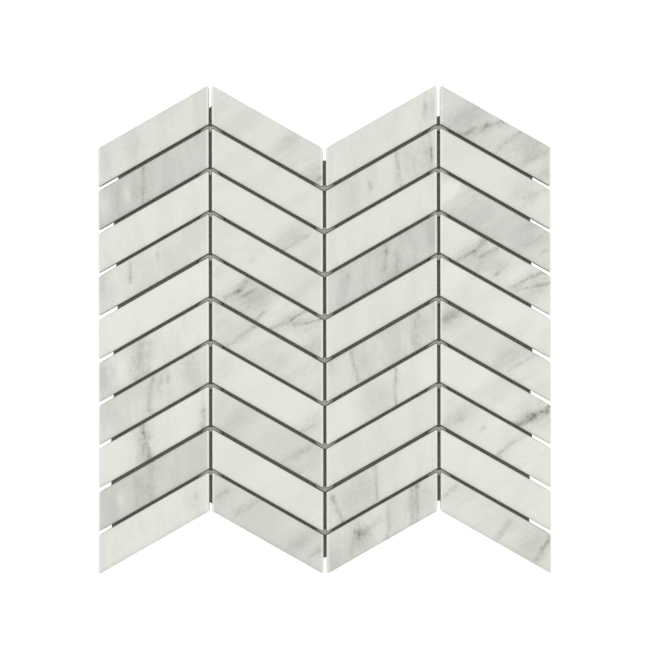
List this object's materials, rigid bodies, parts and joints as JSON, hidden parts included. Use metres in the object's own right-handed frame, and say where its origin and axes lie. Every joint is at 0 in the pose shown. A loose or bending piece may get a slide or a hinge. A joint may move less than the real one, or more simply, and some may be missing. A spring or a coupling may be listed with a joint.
{
  "type": "chevron mosaic tile sheet",
  "caption": "Flat mosaic sheet of slanted marble-look porcelain chips laid as chevrons on a backing, with zigzag top and bottom edges that interlock with the next sheet.",
  "frame": {"origin": "middle of the back face, under the middle of the sheet", "axes": "+X to the right across the columns, +Y up the wall along the columns, +Z out of the glazed face"},
  "size_m": [0.2784, 0.2996, 0.0066],
  "materials": {
    "chip_glaze": "satin",
    "joint_glue": "satin",
    "backing_mesh": "matte"
  },
  "bodies": {
    "root": {"chip_col1_row01": "chip_glaze", "chip_col1_row02": "chip_glaze", "chip_col1_row03": "chip_glaze", "chip_col1_row04": "chip_glaze", "chip_col1_row05": "chip_glaze", "chip_col1_row06": "chip_glaze", "chip_col1_row07": "chip_glaze", "chip_col1_row08": "chip_glaze", "chip_col1_row09": "chip_glaze", "chip_col1_row10": "chip_glaze", "chip_col2_row01": "chip_glaze", "chip_col2_row02": "chip_glaze", "chip_col2_row03": "chip_glaze", "chip_col2_row04": "chip_glaze", "chip_col2_row05": "chip_glaze", "chip_col2_row06": "chip_glaze", "chip_col2_row07": "chip_glaze", "chip_col2_row08": "chip_glaze", "chip_col2_row09": "chip_glaze", "chip_col2_row10": "chip_glaze", "chip_col3_row01": "chip_glaze", "chip_col3_row02": "chip_glaze", "chip_col3_row03": "chip_glaze", "chip_col3_row04": "chip_glaze", "chip_col3_row05": "chip_glaze", "chip_col3_row06": "chip_glaze", "chip_col3_row07": "chip_glaze", "chip_col3_row08": "chip_glaze", "chip_col3_row09": "chip_glaze", "chip_col3_row10": "chip_glaze", "chip_col4_row01": "chip_glaze", "chip_col4_row02": "chip_glaze", "chip_col4_row03": "chip_glaze", "chip_col4_row04": "chip_glaze", "chip_col4_row05": "chip_glaze", "chip_col4_row06": "chip_glaze", "chip_col4_row07": "chip_glaze", "chip_col4_row08": "chip_glaze", "chip_col4_row09": "chip_glaze", "chip_col4_row10": "chip_glaze", "glue_dots_joint1": "joint_glue", "glue_dots_joint2": "joint_glue", "glue_dots_joint3": "joint_glue", "backing": "backing_mesh"}
  },
  "joints": []
}
